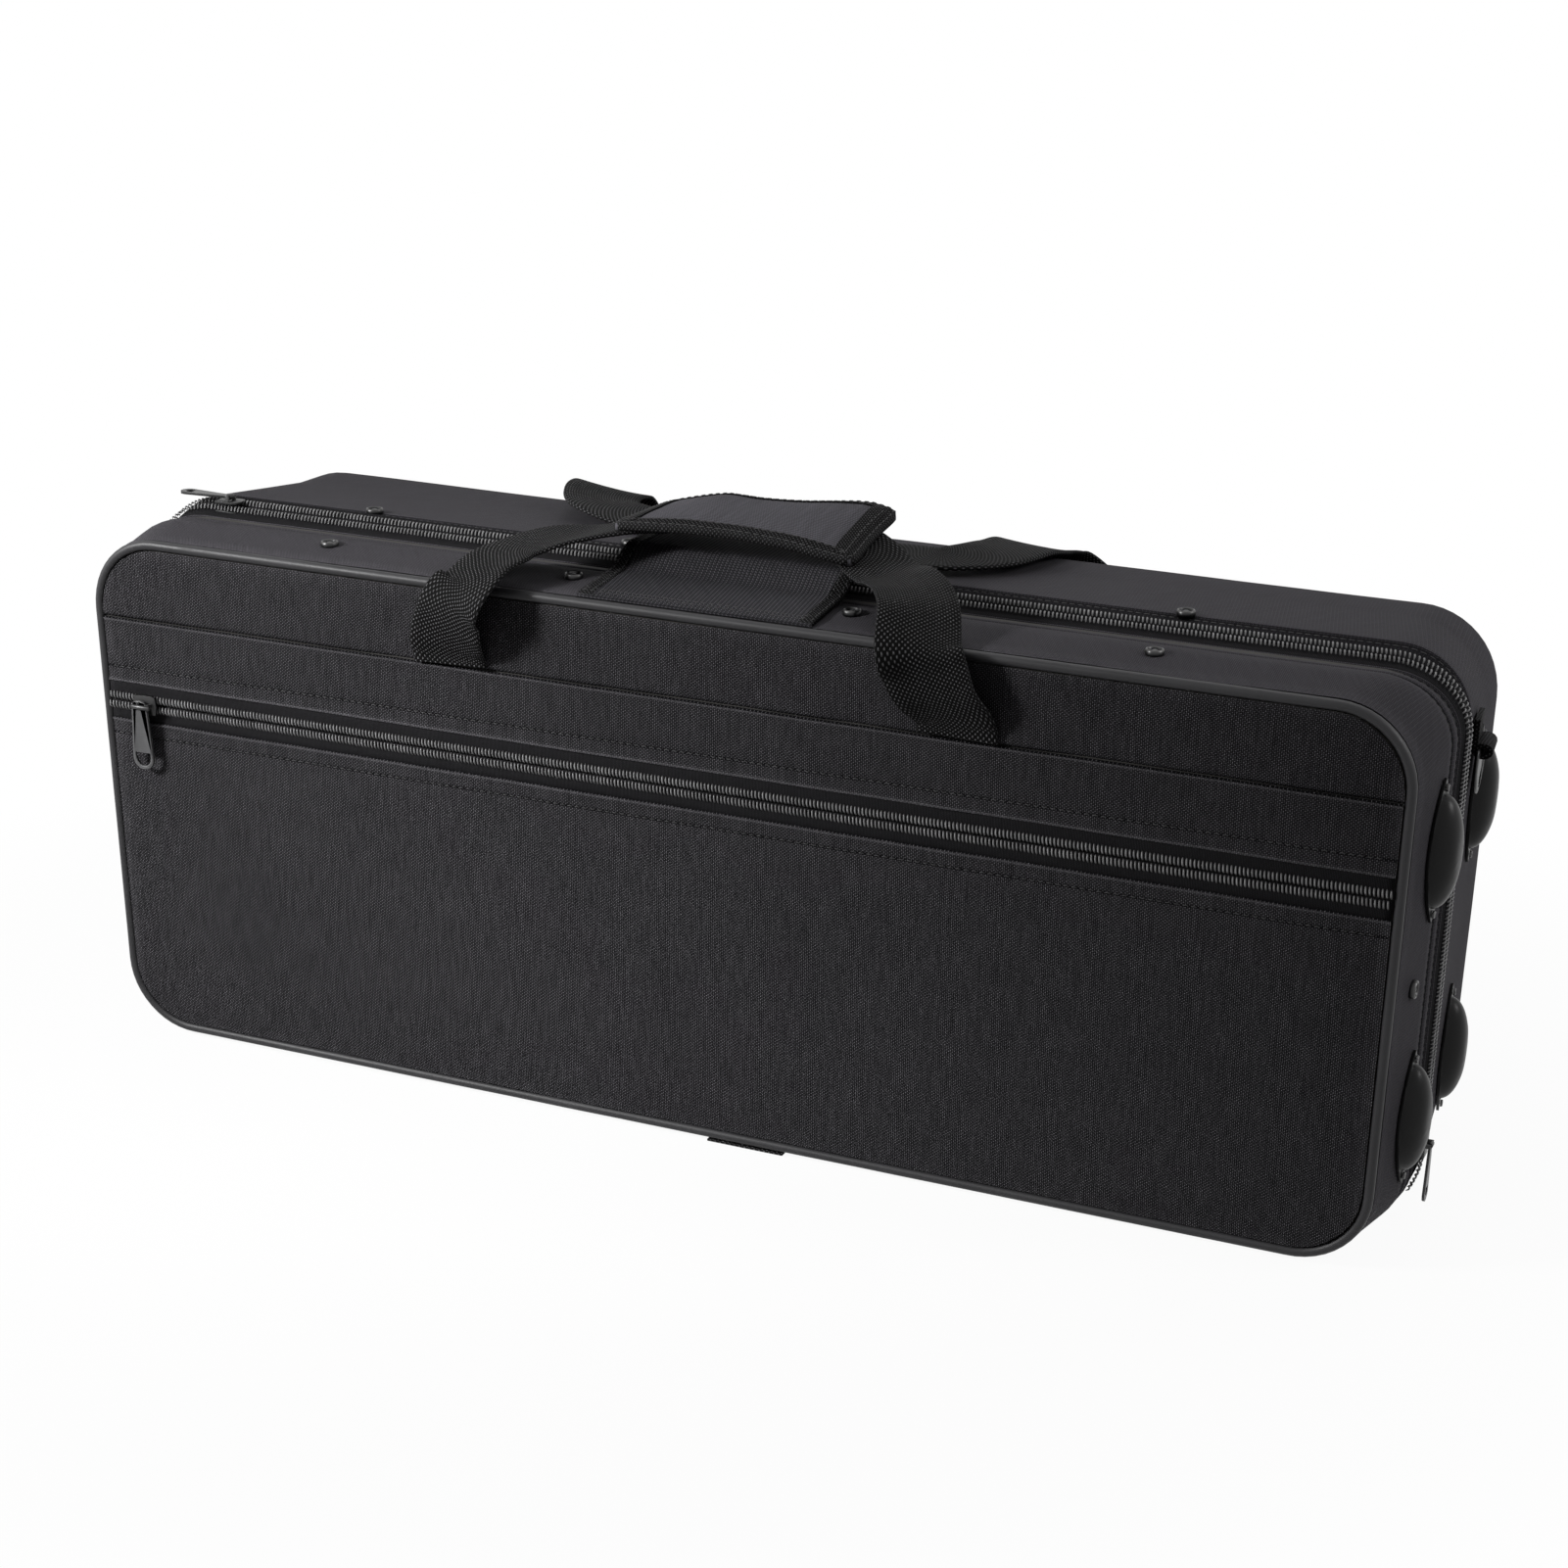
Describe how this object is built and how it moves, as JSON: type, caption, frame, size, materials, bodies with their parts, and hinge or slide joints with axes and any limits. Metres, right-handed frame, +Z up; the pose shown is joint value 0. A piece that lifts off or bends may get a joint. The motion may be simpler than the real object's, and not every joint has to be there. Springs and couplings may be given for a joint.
{
  "type": "instrument case",
  "caption": "Soft-covered rectangular alto saxophone case: zipped lid on a fabric hinge, front pocket, joined webbing handles with a grip, end bumpers, strap rings and a moulded bed.",
  "frame": {"origin": "middle of the surface that the case stands on: halfway along its length and halfway between its front and back faces", "axes": "+X along the case towards the end with the bumpers, -Y out of the pocket face, +Z up towards the handles"},
  "size_m": [0.6862, 0.2185, 0.3013],
  "materials": {
    "base_strap_front": "coarse weave, matt",
    "base_strap_rear": "coarse weave, matt",
    "bumper_front_lower": "satin",
    "bumper_front_lower_screw_bottom": "satin",
    "bumper_front_lower_screw_top": "satin",
    "bumper_front_upper": "satin",
    "bumper_front_upper_screw_bottom": "satin",
    "bumper_front_upper_screw_top": "satin",
    "bumper_rear_lower": "satin",
    "bumper_rear_lower_screw_bottom": "satin",
    "bumper_rear_lower_screw_top": "satin",
    "bumper_rear_upper": "satin",
    "bumper_rear_upper_screw_bottom": "satin",
    "bumper_rear_upper_screw_top": "satin",
    "d_ring_left": "satin",
    "d_ring_right": "satin",
    "foam_insert": "plush",
    "front_cover": "fine weave, matt",
    "front_piping": "satin",
    "front_shell": "matt",
    "front_zip_tape": "fine weave",
    "front_zip_teeth": "satin",
    "handle_grip": "woven, matt",
    "handle_strap_front": "coarse weave, matt",
    "handle_strap_rear": "coarse weave, matt",
    "hinge_band_front": "coarse weave, matt",
    "hinge_band_rear": "coarse weave, matt",
    "lid_foam": "plush",
    "main_pull_left": "satin",
    "main_pull_right": "satin",
    "main_slider_left": "satin",
    "main_slider_right": "satin",
    "pocket_panel": "woven, matt",
    "pocket_pull": "satin",
    "pocket_slider": "satin",
    "pocket_zip_tape_lower": "fine weave",
    "pocket_zip_tape_upper": "fine weave",
    "pocket_zip_teeth_lower": "satin",
    "pocket_zip_teeth_upper": "satin",
    "rear_cover": "fine weave, matt",
    "rear_shell": "matt",
    "rear_zip_tape": "fine weave",
    "rear_zip_teeth": "satin",
    "ring_tab_left": "coarse weave, matt",
    "ring_tab_right": "coarse weave, matt",
    "rivet_base_1": "satin",
    "rivet_base_2": "satin",
    "rivet_base_3": "satin",
    "rivet_base_4": "satin",
    "rivet_lid_1": "satin",
    "rivet_lid_2": "satin",
    "rivet_lid_3": "satin",
    "rivet_lid_4": "satin",
    "rivet_lid_end": "satin",
    "top_panel": "woven, matt",
    "yoke_panel": "woven, matt",
    "zip_flap": "woven, matt"
  },
  "bodies": {
    "base": {"base_strap_rear": "base_strap_rear", "bumper_rear_lower": "bumper_rear_lower", "bumper_rear_lower_screw_bottom": "bumper_rear_lower_screw_bottom", "bumper_rear_lower_screw_top": "bumper_rear_lower_screw_top", "bumper_rear_upper": "bumper_rear_upper", "bumper_rear_upper_screw_bottom": "bumper_rear_upper_screw_bottom", "bumper_rear_upper_screw_top": "bumper_rear_upper_screw_top", "foam_insert": "foam_insert", "hinge_band_rear": "hinge_band_rear", "rear_cover": "rear_cover", "rear_shell": "rear_shell", "rear_zip_tape": "rear_zip_tape", "rear_zip_teeth": "rear_zip_teeth", "ring_tab_left": "ring_tab_left", "ring_tab_right": "ring_tab_right", "rivet_base_1": "rivet_base_1", "rivet_base_2": "rivet_base_2", "rivet_base_3": "rivet_base_3", "rivet_base_4": "rivet_base_4"},
    "lid": {"base_strap_front": "base_strap_front", "bumper_front_lower": "bumper_front_lower", "bumper_front_lower_screw_bottom": "bumper_front_lower_screw_bottom", "bumper_front_lower_screw_top": "bumper_front_lower_screw_top", "bumper_front_upper": "bumper_front_upper", "bumper_front_upper_screw_bottom": "bumper_front_upper_screw_bottom", "bumper_front_upper_screw_top": "bumper_front_upper_screw_top", "front_cover": "front_cover", "front_piping": "front_piping", "front_shell": "front_shell", "front_zip_tape": "front_zip_tape", "front_zip_teeth": "front_zip_teeth", "hinge_band_front": "hinge_band_front", "lid_foam": "lid_foam", "pocket_panel": "pocket_panel", "pocket_zip_tape_lower": "pocket_zip_tape_lower", "pocket_zip_tape_upper": "pocket_zip_tape_upper", "pocket_zip_teeth_lower": "pocket_zip_teeth_lower", "pocket_zip_teeth_upper": "pocket_zip_teeth_upper", "rivet_lid_1": "rivet_lid_1", "rivet_lid_2": "rivet_lid_2", "rivet_lid_3": "rivet_lid_3", "rivet_lid_4": "rivet_lid_4", "rivet_lid_end": "rivet_lid_end", "top_panel": "top_panel", "yoke_panel": "yoke_panel", "zip_flap": "zip_flap"},
    "front_handle": {"handle_strap_front": "handle_strap_front", "handle_grip": "handle_grip"},
    "rear_handle": {"handle_strap_rear": "handle_strap_rear"},
    "main_slider_left": {"main_slider_left": "main_slider_left"},
    "main_pull_left": {"main_pull_left": "main_pull_left"},
    "main_slider_right": {"main_slider_right": "main_slider_right"},
    "main_pull_right": {"main_pull_right": "main_pull_right"},
    "pocket_slider": {"pocket_slider": "pocket_slider"},
    "pocket_pull": {"pocket_pull": "pocket_pull"},
    "d_ring_right": {"d_ring_right": "d_ring_right"},
    "d_ring_left": {"d_ring_left": "d_ring_left"}
  },
  "joints": [
    {"name": "lid_hinge", "type": "hinge", "parent": "base", "child": "lid", "pos_m": [0, -0.027, 0], "axis": [1, 0, 0], "range_deg": [0, 175]},
    {"name": "front_handle_fold", "type": "hinge", "parent": "lid", "child": "front_handle", "pos_m": [0, -0.0958, 0.2221], "axis": [1, 0, 0], "range_deg": [0, 110]},
    {"name": "rear_handle_fold", "type": "hinge", "parent": "base", "child": "rear_handle", "pos_m": [0, 0.0964, 0.2221], "axis": [-1, 0, 0], "range_deg": [0, 110]},
    {"name": "main_slider_left_run", "type": "slide", "parent": "base", "child": "main_slider_left", "axis": [1, 0, 0], "range_m": [0, 0.584]},
    {"name": "main_pull_left_swing", "type": "hinge", "parent": "main_slider_left", "child": "main_pull_left", "pos_m": [-0.292, -0.027, 0.2721], "axis": [0, 1, 0], "range_deg": [0, 175]},
    {"name": "main_slider_right_run", "type": "slide", "parent": "base", "child": "main_slider_right", "axis": [0, 0, 1], "range_m": [0, 0.186]},
    {"name": "main_pull_right_swing", "type": "hinge", "parent": "main_slider_right", "child": "main_pull_right", "pos_m": [0.3401, -0.027, 0.038], "axis": [0, -1, 0], "range_deg": [0, 175]},
    {"name": "pocket_slider_run", "type": "slide", "parent": "lid", "child": "pocket_slider", "axis": [1, 0, 0], "range_m": [0, 0.6034]},
    {"name": "pocket_pull_swing", "type": "hinge", "parent": "pocket_slider", "child": "pocket_pull", "pos_m": [-0.3017, -0.0995, 0.1785], "axis": [-1, 0, 0], "range_deg": [0, 175]},
    {"name": "ring_right_swing", "type": "hinge", "parent": "base", "child": "d_ring_right", "pos_m": [0.33764, -0.00071, 0.2215], "axis": [0.0733, -0.9973, 0], "range_deg": [0, 170]},
    {"name": "ring_left_swing", "type": "hinge", "parent": "base", "child": "d_ring_left", "pos_m": [-0.33764, -0.00071, 0.2215], "axis": [0.0733, 0.9973, 0], "range_deg": [0, 170]}
  ]
}
